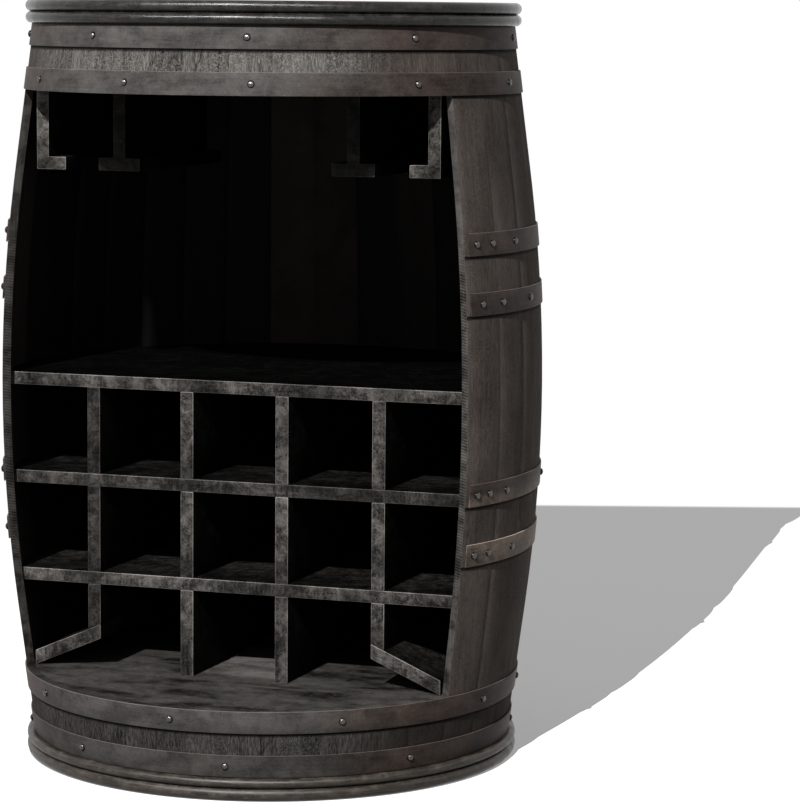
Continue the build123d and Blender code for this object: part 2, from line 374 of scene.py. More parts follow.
class Finish:
    """A material, or a lamp's or the world's light, whose nodes are added one by one."""

    def __init__(self, owner):
        owner.use_nodes = True
        self.owner, self.tree = owner, owner.node_tree
        self.tree.nodes.clear()

    def add(self, kind, settings=(), inputs=(), output=0):
        """Add a node: its settings first, then the values or links of its sockets."""
        node = self.tree.nodes.new(kind)
        for name, value in dict(settings).items():
            setattr(node, name, value)
        for name, value in dict(inputs).items():
            if isinstance(value, Wire):
                self.tree.links.new(value.socket, node.inputs[name])
            elif node.inputs[name].type == "RGBA":
                node.inputs[name].default_value = (*value, 1)
            else:
                node.inputs[name].default_value = value
        return Wire(self, node.outputs[output]) if node.outputs else node

    def sum(self, operation, *terms):
        return self.add("ShaderNodeMath", {"operation": operation}, dict(enumerate(terms)))

    def place(self):
        return self.add("ShaderNodeTexCoord", output="Object")

    def parts(self, vector):
        first = self.add("ShaderNodeSeparateXYZ", (), {0: vector})
        outputs = first.socket.node.outputs
        return [Wire(self, outputs[axis]) for axis in range(3)]

    def joined(self, x, y, z):
        return self.add("ShaderNodeCombineXYZ", (), {0: x, 1: y, 2: z})

    def noise(self, vector, scale, detail=3.0, roughness=0.55, distortion=0.0):
        return self.add("ShaderNodeTexNoise", (), {
            "Vector": vector, "Scale": scale, "Detail": detail,
            "Roughness": roughness, "Distortion": distortion})

    def grain(self, vector, fineness, detail=3.0, roughness=0.55, distortion=0.0):
        """Noise with its own fineness along each axis, in waves to a metre."""
        stretched = self.add("ShaderNodeVectorMath", {"operation": "MULTIPLY"},
                             {0: vector, 1: fineness})
        return self.noise(stretched, 1.0, detail, roughness, distortion)

    def flecks(self, vector, scale):
        """Distance to the nearest of many scattered points."""
        return self.add("ShaderNodeTexVoronoi", (), {"Vector": vector, "Scale": scale})

    def chance(self, number):
        """A fixed random value for each whole number."""
        return self.add("ShaderNodeTexWhiteNoise", {"noise_dimensions": "1D"}, {"W": number})

    def between(self, value, low, high):
        """0 below one level, 1 above the other, and a smooth step in between."""
        return self.add("ShaderNodeMapRange", {"interpolation_type": "SMOOTHSTEP"},
                        {0: value, 1: low, 2: high})

    def swing(self, value, low, high):
        """The same smooth step, from -0.5 to 0.5."""
        return self.between(value, low, high) - 0.5

    def off(self, value, centre=0.0):
        """How far a value is from a centre."""
        return self.sum("ABSOLUTE", value - centre)

    def at_least(self, value, least):
        return self.sum("MAXIMUM", value, least)

    def facing(self):
        """The parts of the surface's own direction."""
        return self.parts(self.add("ShaderNodeNewGeometry", output="Normal"))

    def mixed(self, share, first, second):
        return self.add("ShaderNodeMix", {"data_type": "RGBA"},
                        {0: share, 6: first, 7: second}, output=2)

    def shaded(self, colour, light):
        """A colour times a value."""
        return self.add("ShaderNodeVectorMath", {"operation": "SCALE"}, {0: colour, "Scale": light})

    def surface(self, colour, roughness, height, depth, specular, metallic=0.0):
        bump = self.add("ShaderNodeBump", (), {
            "Strength": 1.0, "Distance": depth, "Height": height})
        return self.show(self.add("ShaderNodeBsdfPrincipled", (), {
            "Base Color": colour, "Roughness": roughness, "Metallic": metallic,
            "Specular IOR Level": specular, "Normal": bump}))

    def show(self, shader, kind="ShaderNodeOutputMaterial"):
        self.add(kind, (), {0: shader})
        return self.owner


def new_finish(name):
    return Finish(bpy.data.materials.new(name))


MEAN_RADIUS = 0.3                  # turns a bearing into a length round the cask
PAINTED_LIGHT_BEARING = -0.06             # middle of the front where light is painted on, in radians
STAVE_PAINTED_LIGHT = (0.62, 0.98)       # how far from there the staves get painted light, fully and at all
HOOP_PAINTED_LIGHT = (0.35, 1.05)        # the same for the hoops, whose painted light is a broad sheen
FOOT_SHADE = (0.075, 0.1)          # heights between which painted shade darkens the staves towards the foot
HOOP_SHADOW_LINE = (0.0056, 0.002)            # from a hoop down to where its painted shadow line starts, and where it is full
PAINTED_SHEEN_BEARING = math.radians(-169.4)   # middle of the two staves inside that get a painted sheen
DARKEST_BEARING = math.radians(-124)     # middle of the staves inside that are blackest
DARKEST_REACH = (0.36, 0.26)         # where the darkening ends, and where it is full
SAW_PITCH = 0.0034                 # from one rib of the saw to the next
SAWN_HEIGHTS = (0.2, 0.26, 0.58, 0.66)  # where the ribs start, are full, fade and end
LOW_JAMB = (0.36, 0.26)            # heights between which the sawn edges darken
FRONT_EDGE = (0.0012, 0.0004)      # depth behind a board's front where its rubbed edge ends
TOP_SHADE_DEPTH = 0.13                  # depth behind a board's front over which the painted shade on its top grows lighter
PALE_HALF_WIDTH = (0.058, 0.046)   # the paler place on the floor, in the middle cell
PALE_FRONT = (0.012, 0.03)         # how far behind the rack's front it starts
LOW_BEADS = (0.1, 0.05)            # heights between which a bead counts as a foot bead
LOW_HOOPS = (0.12, 0.07)           # heights between which a hoop counts as a low one
BARE_BEARINGS = (1.02, 1.16)       # where the bare end of a hoop starts, and is fully bare
BARE_HEIGHTS = (0.2, 0.22, 0.33, 0.345)   # where that starts, is full, fades and ends, upwards


def round_the_cask(finish, place):
    """A point's bearing from the front, and its height."""
    x, y, z = finish.parts(place)
    return finish.sum("ARCTAN2", x, y * -1), z


def stave_place(finish):
    """Bearing and height of a point, the number of its stave, and its place on that stave."""
    angle, z = round_the_cask(finish, finish.place())
    number = finish.sum("FLOOR", angle / STAVE_TURN)
    face = finish.joined(angle * MEAN_RADIUS + number * 3.17, number * 0.71, z)
    return angle, z, number, face


def painted_front_light(finish, angle, reach):
    """1 on the front of the cask, where light is painted on, and 0 on its sides and back, in
    painted shade.
    """
    full, end = reach
    return finish.between(finish.off(angle, PAINTED_LIGHT_BEARING), end, full)


def band(finish, value, start, full, fade, end):
    """1 in the middle of a stretch of values, and 0 outside it."""
    return finish.between(value, end, fade) * finish.between(value, start, full)


def hoop_shadow_line(finish, z):
    """1 in the painted shadow line right below each hoop."""
    painted_shadow = 0.0
    start, full = HOOP_SHADOW_LINE
    for node in FULL_HOOPS + OPEN_HOOPS:
        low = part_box(node)[0].z
        line = finish.between(z, low - start, low - full) * (z < low + NEAR)
        painted_shadow = finish.at_least(line, painted_shadow)
    return painted_shadow


def stave_wood():
    """Open-grained oak, stained black: grey and pebbled in painted light at the front, browner in
    painted shade elsewhere.
    """
    finish = new_finish("black stained oak")
    angle, z, number, face = stave_place(finish)
    # rubbed: painted light at the front, lighter with crisper grain; elsewhere the side colour is
    # painted shade
    rubbed = painted_front_light(finish, angle, STAVE_PAINTED_LIGHT)
    broad = finish.grain(face, (22, 1, 2.2), 4, 0.6)
    streak = finish.grain(face, (150, 1, 7), 4, 0.6, 0.3)
    fibre = finish.grain(face, (640, 1, 90), 4, 0.72, 0.8)
    pebble = finish.grain(face, (520, 1, 380), 3, 0.6, 1.6)
    kind = finish.between(finish.grain(face, (17, 1, 12), 2), 0.42, 0.58)
    pores = pebble + (fibre - pebble) * kind
    crisp = finish.between(pores, 0.36, 0.64)
    blotch = finish.grain(face, (11, 1, 9), 3, 0.6)
    scratch = finish.between(finish.grain(face, (260, 1, 34), 4, 0.75, 0.5), 0.64, 0.72)
    light = 0.62 + finish.chance(number) * 0.14 + rubbed * 0.15 \
        + (crisp - 0.5) * (0.46 + rubbed * 0.66) \
        + finish.swing(streak, 0.34, 0.66) * (0.16 + rubbed * 0.14) \
        + finish.swing(broad, 0.3, 0.7) * 0.24 \
        + finish.swing(blotch, 0.32, 0.68) * 0.34 + scratch * 0.35
    # painted shade, darker towards the foot
    foot = 0.36 + finish.between(z, *FOOT_SHADE) * 0.64
    # a painted shadow line below each hoop
    foot = foot * (1 - hoop_shadow_line(finish, z) * 0.9)
    colour = finish.mixed(rubbed, tuple(colours().side), tuple(colours().stave))
    colour = finish.shaded(colour, finish.at_least(light, 0.12) * foot)
    height = crisp * 0.7 + streak * 0.3
    return finish.surface(colour, 0.6 + pores * 0.2, height, depth=0.0006, specular=0.03)


def lining_wood():
    """Blackened inner faces of the staves: two with a painted sheen at the back, some darker at the
    left.
    """
    finish = new_finish("blackened lining")
    angle, _, number, face = stave_place(finish)
    grain = finish.grain(face, (180, 1, 5), 4, 0.6, 0.3)
    stain = finish.between(finish.grain(face, (14, 1, 11), 4, 0.65), 0.36, 0.6)
    # a painted sheen on the two back staves
    painted_sheen = finish.off(angle, PAINTED_SHEEN_BEARING) < STAVE_TURN
    # darker at the back left
    darker_left = finish.between(finish.off(angle, DARKEST_BEARING), *DARKEST_REACH)
    light = 0.1 + finish.between(finish.chance(number), 0.3, 0.9) * 2.4 + (grain - 0.5) * 1.6
    light = finish.at_least(light, 0.1) * (1 - darker_left * 0.9) * (1 - painted_sheen * 0.4) \
        + painted_sheen * (2.4 + stain * 1.8)
    colour = finish.shaded(tuple(colours().lining), light)
    return finish.surface(colour, 0.7, grain, depth=0.0004, specular=0.1)


def jamb_wood():
    """Sawn edges of the staves beside the opening, with the saw's ribs."""
    finish = new_finish("sawn stave edge")
    place = finish.place()
    x, _, z = finish.parts(place)
    wander = finish.noise(place, 8, 3)
    ribs = finish.sum("SINE", (z + wander * 0.006 + x * 0.2) * (2 * math.pi / SAW_PITCH))
    grain = finish.grain(place, (300, 300, 14), 4, 0.6)
    mottle = finish.grain(place, (40, 40, 60), 4, 0.65)
    sawn = band(finish, z, *SAWN_HEIGHTS)
    left = finish.between(x, 0.0, -0.05)
    light = 0.42 - finish.between(z, *LOW_JAMB) * 0.13 + (grain - 0.5) * 0.5 \
        + ribs * 0.12 * sawn + finish.swing(mottle, 0.34, 0.66) * 0.4 + (1 - sawn) * 0.06
    light = finish.at_least(light, 0.08) * (0.9 - left * 0.42)
    colour = finish.shaded(tuple(colours().stave), light)
    height = ribs * 0.3 * sawn + grain * 0.6
    return finish.surface(colour, 0.6, height, depth=0.0006, specular=0.03)


ALONG_X = (9, 190, 190)            # a board's grain: coarse along its length, fine across it
ALONG_Y = (190, 9, 190)
ALONG_Z = (190, 190, 9)
EDGE_TICKS = (90, 50, 160)         # short marks on a board's front edge
SHELF_TICKS = (380, 50, 60)        # upright marks on a shelf's front edge


# inside: painted shade on faces behind the front; dust: painted shade on the top, and how strong
# the dust flecks are
def board_wood(name, grain, colour="rack", share=1.0, seed=0.0, inside=0.05, dust=0.13,
               ticks=EDGE_TICKS, front_at=RACK_FRONT):
    """A worn black board: rubbed to grey on its front edge, dust flecks on top, painted shade on
    top and behind.
    """
    finish = new_finish(name)
    place = finish.place()
    y = finish.parts(place)[1]
    moved = finish.add("ShaderNodeVectorMath", {"operation": "ADD"},
                       {0: place, 1: (seed, seed * 2.3, seed * 1.7)})
    fibre = finish.grain(moved, grain, 5, 0.62, 0.3)
    wear = finish.noise(moved, 58.0, 7, 0.75, 0.5)
    scuff = finish.noise(moved, 430.0, 4, 0.75)
    tick = finish.grain(moved, ticks, 3, 0.7, 0.3)
    patch = finish.between(finish.noise(moved, 17.0, 4, 0.62, 0.4), 0.38, 0.6)
    fleck = finish.between(finish.flecks(moved, 85.0), 0.16, 0.09)
    edge_end, edge_full = FRONT_EDGE
    front = finish.between(y, front_at + edge_end, front_at + edge_full)
    facing = finish.facing()
    upward = finish.between(facing[2], 0.6, 0.9)
    turned = finish.between(facing[1] * -1, 0.97, 0.85) * front
    depth = finish.between(y, front_at, front_at + TOP_SHADE_DEPTH)
    # painted shade: inside on faces behind the front, dust on the top, lighter further back, none
    # on the front
    behind = inside + (dust * (0.6 + depth * 1.5) - inside) * upward
    behind = behind + (1 - behind) * front
    light = 0.34 + (fibre - 0.5) * 0.9 + finish.between(wear, 0.42, 0.62) * 0.75 \
        + finish.swing(scuff, 0.34, 0.66) * 0.5 + finish.swing(tick, 0.34, 0.66) * 0.3 \
        + turned * 1.9 + fleck * 0.25
    light = finish.at_least(light, 0.1) * (0.5 + patch * 0.84)
    stain = [share * part for part in getattr(colours(), colour)]
    stain = finish.shaded(stain, light * behind + fleck * upward * (0.9 * dust))
    return finish.surface(stain, 0.42 + wear * 0.35, fibre * 0.5 + scuff * 0.4,
                          depth=0.0005, specular=0.05)


def top_wood():
    """The planks of the serving top: each with its own tone, dark in the joints."""
    finish = new_finish("serving top planks")
    x, y, z = finish.parts(finish.place())
    near, far = (corner.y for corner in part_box("serving_top"))
    across = (y - near) * (TOP_PLANKS / (far - near))
    number = finish.sum("FLOOR", across)
    joint = finish.between(finish.off(across - number, 0.5), 0.488, 0.497)
    face = finish.joined(x + number * 1.73, y, z)
    grain = finish.grain(face, (5, 110, 110), 5, 0.6, 0.5)
    fibre = finish.grain(face, (34, 760, 760), 3, 0.7)
    wear = finish.grain(face, (26, 60, 60), 5, 0.7, 0.4)
    broad = finish.grain(face, (4, 9, 9), 3)
    light = 0.5 + finish.chance(number + 7) * 0.22 + finish.swing(grain, 0.32, 0.68) * 0.5 \
        + (fibre - 0.5) * 0.6 + finish.between(wear, 0.46, 0.68) * 0.25 + (broad - 0.5) * 0.5
    light = finish.at_least(light, 0.12) * (1 - joint * 0.7)
    colour = finish.shaded(tuple(colours().rack), light)
    return finish.surface(colour, 0.42 + grain * 0.22, grain * 0.5 + fibre * 0.3,
                          depth=0.0005, specular=0.06)


def floor_wood():
    """The floor board: smeared dark in streaks, and paler in the middle cell."""
    finish = new_finish("floor board")
    place = finish.place()
    x, y, _ = finish.parts(place)
    smear = finish.grain(place, (9, 30, 30), 3, 0.5, 0.6)
    wear = finish.noise(place, 55.0, 6, 0.7, 0.5)
    dust = finish.between(finish.noise(place, 520.0, 3, 0.75), 0.5, 0.72)
    fleck = finish.between(finish.flecks(place, 70.0), 0.14, 0.07)
    pale = finish.between(finish.off(x, -0.002), *PALE_HALF_WIDTH) \
        * finish.between(y, *(RACK_FRONT + depth for depth in PALE_FRONT))
    light = 0.55 + finish.swing(smear, 0.3, 0.62) * 0.8 \
        + finish.swing(wear, 0.36, 0.64) * 0.5 + dust * 0.4 + fleck * 0.8
    light = finish.at_least(light, 0.12) * (1 + pale * 0.6) + pale * 0.75
    colour = finish.shaded(tuple(colours().deck), light)
    return finish.surface(colour, 0.5 + wear * 0.25, wear * 0.5 + dust * 0.3,
                          depth=0.0005, specular=0.05)


def bead_wood():
    """Lacquered moulding with a broad sheen, drawn out along its length and scuffed in places."""
    finish = new_finish("black lacquered bead")
    place = finish.place()
    angle, z = round_the_cask(finish, place)
    rolled = finish.joined(angle * MEAN_RADIUS, 0.0, z)
    drawn = finish.grain(rolled, (26, 1, 520), 4, 0.65, 0.3)
    worn = finish.noise(place, 70.0, 6, 0.7)
    fine = finish.noise(place, 480.0, 3, 0.7)
    low = finish.between(z, *LOW_BEADS)
    light = 0.35 + finish.between(drawn, 0.4, 0.66) * 0.7 \
        + finish.between(worn, 0.45, 0.7) * 0.7 + (fine - 0.5) * 0.9
    lacquer = finish.mixed(low, tuple(colours().bead), tuple(colours().bead_foot))
    lacquer = finish.shaded(lacquer, finish.at_least(light, 0.1))
    roughness = 0.2 + finish.between(worn, 0.35, 0.7) * 0.16 + low * 0.15
    height = worn * 0.4 + drawn * 0.3 + fine * 0.1
    return finish.surface(lacquer, roughness, height, depth=0.0003, specular=0.19)


def hoop_iron():
    """Blackened flat iron, mottled: painted light at the front, painted highlights on its edges,
    browner in painted shade at the sides.
    """
    finish = new_finish("blackened hoop iron")
    place = finish.place()
    angle, z = round_the_cask(finish, place)
    rolled = finish.joined(angle * MEAN_RADIUS, 0.0, z)
    # rubbed: a painted sheen at the front; elsewhere the side colour is painted shade, with more
    # rust
    rubbed = painted_front_light(finish, angle, HOOP_PAINTED_LIGHT)
    streak = finish.grain(rolled, (14, 1, 480), 4, 0.65)
    cloud = finish.grain(rolled, (13, 1, 30), 4, 0.6, 0.4)
    mottle = finish.noise(place, 75.0, 6, 0.7, 0.3)
    fine = finish.noise(place, 560.0, 3, 0.75)
    rust = finish.between(finish.noise(place, 6.0, 4, 0.6), 0.5, 0.72)
    # edge: a painted highlight along the rolled top and bottom edges
    edge = finish.between(finish.off(finish.facing()[2]), 0.3, 0.75)
    light = 0.6 + (streak - 0.5) * 0.5 + finish.swing(cloud, 0.3, 0.7) * 0.5 \
        + (mottle - 0.5) * 1.1 + (fine - 0.5) * 0.9 + rubbed * 0.18 + edge * 1.1
    light = light * (1 - finish.between(z, *LOW_HOOPS) * 0.36)
    iron = finish.mixed(rubbed, tuple(colours().hoop_side), tuple(colours().hoop))
    iron = finish.mixed(rust * (0.5 - rubbed * 0.35), iron, tuple(colours().rust))
    bare = finish.between(angle, *BARE_BEARINGS) * band(finish, z, *BARE_HEIGHTS)
    iron = finish.mixed(bare * 0.75, iron, tuple(colours().bare_iron))
    iron = finish.shaded(iron, finish.at_least(light, 0.1))
    return finish.surface(iron, 0.42 + mottle * 0.2, mottle * 0.5 + fine * 0.3,
                          depth=0.0004, specular=0.05)


def rivet_steel():
    """Darkened steel heads: a polished crown and a dull black rim."""
    finish = new_finish("darkened rivet steel")
    place = finish.place()
    x, y, _ = finish.parts(place)
    facing = finish.facing()
    radius = finish.sum("SQRT", x * x + y * y)
    outward = (facing[0] * x + facing[1] * y) / radius
    polished = finish.between(outward, 0.5, 0.86)
    mottle = finish.noise(place, 260.0, 4, 0.6)
    light = (0.08 + polished * 0.92) * (0.6 + mottle * 0.8)
    colour = finish.shaded(tuple(colours().rivet), light)
    return finish.surface(colour, 0.2 + mottle * 0.08, mottle, depth=0.0001, specular=0.2,
                          metallic=0.85)


MAKERS = {"stave": stave_wood, "lining": lining_wood, "jamb": jamb_wood, "bead": bead_wood,
          "hoop": hoop_iron, "rivet": rivet_steel, "deck": floor_wood, "top": top_wood}
BOARDS = {
    "shelf": dict(name="worn shelf board", grain=ALONG_X, ticks=SHELF_TICKS),
    "dark shelf": dict(name="darker shelf board", grain=ALONG_X, share=0.66, seed=7,
                       ticks=SHELF_TICKS),
    "top shelf": dict(name="black shelf board", grain=ALONG_X, dust=0.015, ticks=SHELF_TICKS),
    "divider": dict(name="worn divider board", grain=ALONG_Z, seed=3),
    "dark divider": dict(name="darker divider board", grain=ALONG_Z, share=0.45, seed=4),
    "left rail": dict(name="left rail wood", grain=ALONG_Y, colour="rail", share=1.2, seed=5),
    "right rail": dict(name="right rail wood", grain=ALONG_Y, colour="rail", share=0.9, seed=6),
    # the middle rails, darker as painted shade
    "dark rail": dict(name="dark rail wood", grain=ALONG_Y, share=0.45, seed=9),
    "panel": dict(name="stained panel", grain=(8, 170, 170), seed=11, inside=1.0, dust=1.0,
                  front_at=-1.0),
    "inner": dict(name="hidden board", grain=ALONG_X, colour="lining", seed=13),
}
FINISHES = {}


def finish_of(name):
    """A finish by its name, made when it is first asked for."""
    if name not in FINISHES:
        FINISHES[name] = board_wood(**BOARDS[name]) if name in BOARDS else MAKERS[name]()
    return FINISHES[name]


# ---------------------------------------------------------------- staves
def stave_blank(low, high, rows):
    """One stave with its middle at the front, bowed along its length and rounded across."""
    size = sizes()
    half = math.pi / STAVE_COUNT - size.stave_joint / 2 / size.bilge_radius
    piece = strip("stave", low, high, size.stave_thickness, size.bilge_radius)
    bpy.ops.object.mode_set(mode="EDIT")
    choose(piece, "EDGE", upright)
    bpy.ops.mesh.subdivide(number_cuts=rows - 1)
    for row in range(rows + 1):
        z = low + (high - low) * row / rows
        shift(piece, lambda corner: abs(corner.co.z - z) < NEAR,
              (0, size.bilge_radius - outer_radius(z), 0))
    spin_arc(piece, -half, half, STAVE_STEPS)
    choose(piece, "EDGE", lambda edge: upright(edge)
           and abs(abs(bearing(middle(edge))) - half) < NEAR)
    bpy.ops.mesh.bevel(offset=size.stave_edge, segments=EDGE_SEGMENTS, affect="EDGES")
    bpy.ops.object.mode_set(mode="OBJECT")
    for finish in ("stave", "lining", "jamb"):
        piece.data.materials.append(finish_of(finish))
    for face in piece.data.polygons:
        outwards = Vector((face.center.x, face.center.y, 0)).normalized()
        facing = face.normal.dot(outwards)
        face.material_index = 0 if facing > FACING else 1 if facing < -FACING else 2
    smooth(piece)
    return piece


class CASK_OT_staves(bpy.types.Operator):
    """Bow one full stave and set a copy of it in the place of each stave"""

    bl_idname = "cask.staves"
    bl_label = "Full staves"

    def execute(self, context):
        blank = stave_blank(BASE_TOP, TOP_UNDERSIDE, STAVE_ROWS)
        for node in STAVE_NODES:
            piece = copied(blank, node + "_bowed")
            turn(piece, bearing(mean(solids(node)[0])))
            seat(piece, None, "stave_wood", node)
        discard(blank)
        return {"FINISHED"}


class CASK_OT_short_staves(bpy.types.Operator):
    """Make the staves that are cut short above and below the opening"""

    bl_idname = "cask.short_staves"
    bl_label = "Short staves"

    def execute(self, context):
        for node, low, high in (("short_staves_top", OPENING_TOP, TOP_UNDERSIDE),
                                ("short_staves_bottom", BASE_TOP, FLOOR_TOP)):
            blank = stave_blank(low, high, SHORT_ROWS)
            row = []
            for number, corners in enumerate(solids(node)):
                row.append(turn(copied(blank, f"{node}_{number}"), bearing(mean(corners))))
            take(*row)
            bpy.ops.object.join()
            piece = bpy.context.object
            piece.name = piece.data.name = node + "_bowed"
            seat(piece, None, "stave_wood", node)
            discard(blank)
        return {"FINISHED"}


# ---------------------------------------------------------------- hoops and rivets
def ring(steps):
    """In edit mode, spin a strip's outline all the way round."""
    bpy.ops.mesh.select_all(action="SELECT")
    bpy.ops.mesh.delete(type="ONLY_FACE")
    bpy.ops.mesh.select_all(action="SELECT")
    bpy.ops.mesh.spin(steps=steps, angle=2 * math.pi, center=(0, 0, 0), axis=(0, 0, 1))
    close_up()


def hoop_strip(node):
    """A hoop's section: flat iron on the slope of the staves, with rolled edges."""
    size = sizes()
    low, high = (corner.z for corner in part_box(node))
    thick = size.hoop_thickness
    piece = strip(node + "_rolled", low, high, thick, outer_radius(low) + HOOP_SEAT + thick)
    bpy.ops.object.mode_set(mode="EDIT")
    shift(piece, lambda corner: corner.co.z > (low + high) / 2,
          (0, outer_radius(low) - outer_radius(high), 0))
    choose(piece, "VERT", lambda corner: True)
    bpy.ops.mesh.bevel(offset=size.hoop_edge, segments=ROLL_SEGMENTS, affect="VERTICES")
    return piece


class CASK_OT_hoops(bpy.types.Operator):
    """Roll the four full hoops and the four that end at the opening"""

    bl_idname = "cask.hoops"
    bl_label = "Hoops"

    def execute(self, context):
        for node in FULL_HOOPS:
            piece = hoop_strip(node)
            ring(FULL_STEPS)
            bpy.ops.object.mode_set(mode="OBJECT")
            smooth(piece)
            seat(piece, finish_of("hoop"), "hoop_iron", node)
        for node in OPEN_HOOPS:
            piece = hoop_strip(node)
            ends = [bearing(corner) for corner in solids(node)[0]]
            start = min(abs(angle) for angle in ends)
            spin_arc(piece, start, 2 * math.pi - start, OPEN_STEPS)
            bpy.ops.object.mode_set(mode="OBJECT")
            smooth(piece)
            seat(piece, finish_of("hoop"), "hoop_iron", node)
        return {"FINISHED"}


def rivet_head():
    """A domed rivet head, flat at the back and facing the front."""
    size = sizes()
    deselect()
    bpy.ops.mesh.primitive_uv_sphere_add(
        segments=HEAD_SEGMENTS, ring_count=HEAD_RINGS, radius=size.rivet_radius,
        rotation=(math.pi / 2, 0, 0))
    piece = settle(bpy.context.object)
    bpy.ops.object.mode_set(mode="EDIT")
    bpy.ops.mesh.select_all(action="SELECT")
    bpy.ops.mesh.bisect(plane_co=(0, 0, 0), plane_no=(0, 1, 0), clear_outer=True, use_fill=True)
    bpy.ops.mesh.select_all(action="SELECT")
    bpy.ops.transform.resize(value=(1, size.rivet_rise / size.rivet_radius, 1),
                             center_override=(0, 0, 0))
    close_up()
    bpy.ops.object.mode_set(mode="OBJECT")
    return piece


class CASK_OT_rivets(bpy.types.Operator):
    """Set a domed rivet where each hoop is riveted"""

    bl_idname = "cask.rivets"
    bl_label = "Rivets"

    def execute(self, context):
        head = rivet_head()
        for node in ("full_hoop_rivets", "open_hoop_rivets"):
            row = []
            for number, corners in enumerate(solids(node)):
                centre = mean(corners)
                angle = bearing(centre)
                fall = outer_radius(centre.z - SLOPE_STEP) - outer_radius(centre.z + SLOPE_STEP)
                slope = math.atan2(fall, 2 * SLOPE_STEP)
                rivet = copied(head, f"{node}_{number}")
                rivet.matrix_world = (
                    Matrix.Rotation(angle, 4, "Z")
                    @ Matrix.Translation((0, -self.seat_radius(centre.z), centre.z))
                    @ Matrix.Rotation(-slope, 4, "X"))
                row.append(settle(rivet))
            take(*row)
            bpy.ops.object.join()
            piece = bpy.context.object
            piece.name = piece.data.name = node + "_domed"
            smooth(piece, DOME_ANGLE)
            seat(piece, finish_of("rivet"), "rivet_steel", node)
        discard(head)
        return {"FINISHED"}

    @staticmethod
    def seat_radius(z):
        return outer_radius(z) + HOOP_SEAT + sizes().hoop_thickness - RIVET_SINK


# ---------------------------------------------------------------- beads, top and base
class CASK_OT_beads(bpy.types.Operator):
    """Bend the half-round beads round the top and the foot"""

    bl_idname = "cask.beads"
    bl_label = "Beads"

    def execute(self, context):
        for node, joint in BEAD_JOINTS.items():
            self.bend(node, math.radians(joint))
        return {"FINISHED"}

    def bend(self, node, joint):
        low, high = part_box(node)
        nose = (high.z - low.z) / 2
        outer = -low.y
        back_low = self.back(low.z)
        back_high = self.back(high.z)
        piece = strip(node + "_bent", low.z, high.z, outer - back_low, outer)
        bpy.ops.object.mode_set(mode="EDIT")
        shift(piece, lambda corner: corner.co.z > low.z + nose and corner.co.y > CLEAR - outer,
              (0, back_low - back_high, 0))
        choose(piece, "VERT", lambda corner: corner.co.y < CLEAR - outer)
        bpy.ops.mesh.bevel(offset=nose * 0.999, segments=NOSE_SEGMENTS, affect="VERTICES")
        gap = sizes().bead_joint / outer / 2
        spin_arc(piece, joint + gap, joint - gap + 2 * math.pi, FULL_STEPS)
        bpy.ops.object.mode_set(mode="OBJECT")
        smooth(piece, DOME_ANGLE)
        seat(piece, finish_of("bead"), "bead_wood", node)

    @staticmethod
    def back(z):
        return outer_radius(min(max(z, BASE_TOP), TOP_UNDERSIDE)) + BEAD_SEAT


class CASK_OT_serving_top(bpy.types.Operator):
    """Saw the round serving top into its planks and rub their edges"""

    bl_idname = "cask.serving_top"
    bl_label = "Serving top"

    def execute(self, context):
        row = []
        for number, corners in enumerate(solids("serving_top")):
            near = min(corner.y for corner in corners)
            far = max(corner.y for corner in corners)
            row.append(self.plank(number, near, far))
        take(*row)
        bpy.ops.object.join()
        piece = bpy.context.object
        piece.name = piece.data.name = "serving_top_planks"
        smooth(piece)
        seat(piece, finish_of("top"), "panel_wood", "serving_top")
        return {"FINISHED"}

    def plank(self, number, near, far):
        deselect()
        bpy.ops.mesh.primitive_cylinder_add(
            vertices=FULL_STEPS, radius=outer_radius(TOP_UNDERSIDE),
            depth=CASK_HEIGHT - TOP_UNDERSIDE, location=(0, 0, (CASK_HEIGHT + TOP_UNDERSIDE) / 2))
        piece = settle(bpy.context.object)
        piece.name = f"plank_{number}"
        bpy.ops.object.mode_set(mode="EDIT")
        for place, side in ((near, -1), (far, 1)):
            bpy.ops.mesh.select_all(action="SELECT")
            bpy.ops.mesh.bisect(plane_co=(0, place, 0), plane_no=(0, side, 0),
                                clear_outer=True, use_fill=True)
        close_up()
        bpy.ops.object.mode_set(mode="OBJECT")
        rub_edges(piece)
        return piece


def rub_edges(piece):
    """Round a board's sharp edges a little."""
    take(piece)
    bevel = piece.modifiers.new("rubbed edge", "BEVEL")
    bevel.width = sizes().board_edge
    bevel.segments = EDGE_SEGMENTS
    bevel.limit_method = "ANGLE"
    bevel.angle_limit = math.radians(SHARP_ANGLE)
    bevel.harden_normals = False
    bpy.ops.object.modifier_apply(modifier=bevel.name)


def finished_board(node, finish, slot):
    """A copy of a CAD board with merged corners and rubbed edges."""
    piece = copied(frame["nodes"][node], node + "_finished")
    piece.parent = None
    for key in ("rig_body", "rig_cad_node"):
        del piece[key]
    take(piece)
    bpy.ops.object.mode_set(mode="EDIT")
    close_up()
    bpy.ops.mesh.dissolve_limited(angle_limit=math.radians(FLAT_ANGLE))
    bpy.ops.object.mode_set(mode="OBJECT")
    rub_edges(piece)
    smooth(piece)
    seat(piece, finish_of(finish), slot, node)


class CASK_OT_rack(bpy.types.Operator):
    """Finish the shelves, dividers and slanted boards of the bottle rack"""

    bl_idname = "cask.rack"
    bl_label = "Bottle rack"

    def execute(self, context):
        for node, finish in zip(SHELVES, ("shelf", "dark shelf", "top shelf")):
            finished_board(node, finish, "rack_wood")
        for node in DIVIDERS:
            finish = "dark divider" if node == DIVIDERS[0] else "divider"
            finished_board(node, finish, "rack_wood")
        for node in SLANTS:
            finished_board(node, "shelf", "rack_wood")
        return {"FINISHED"}


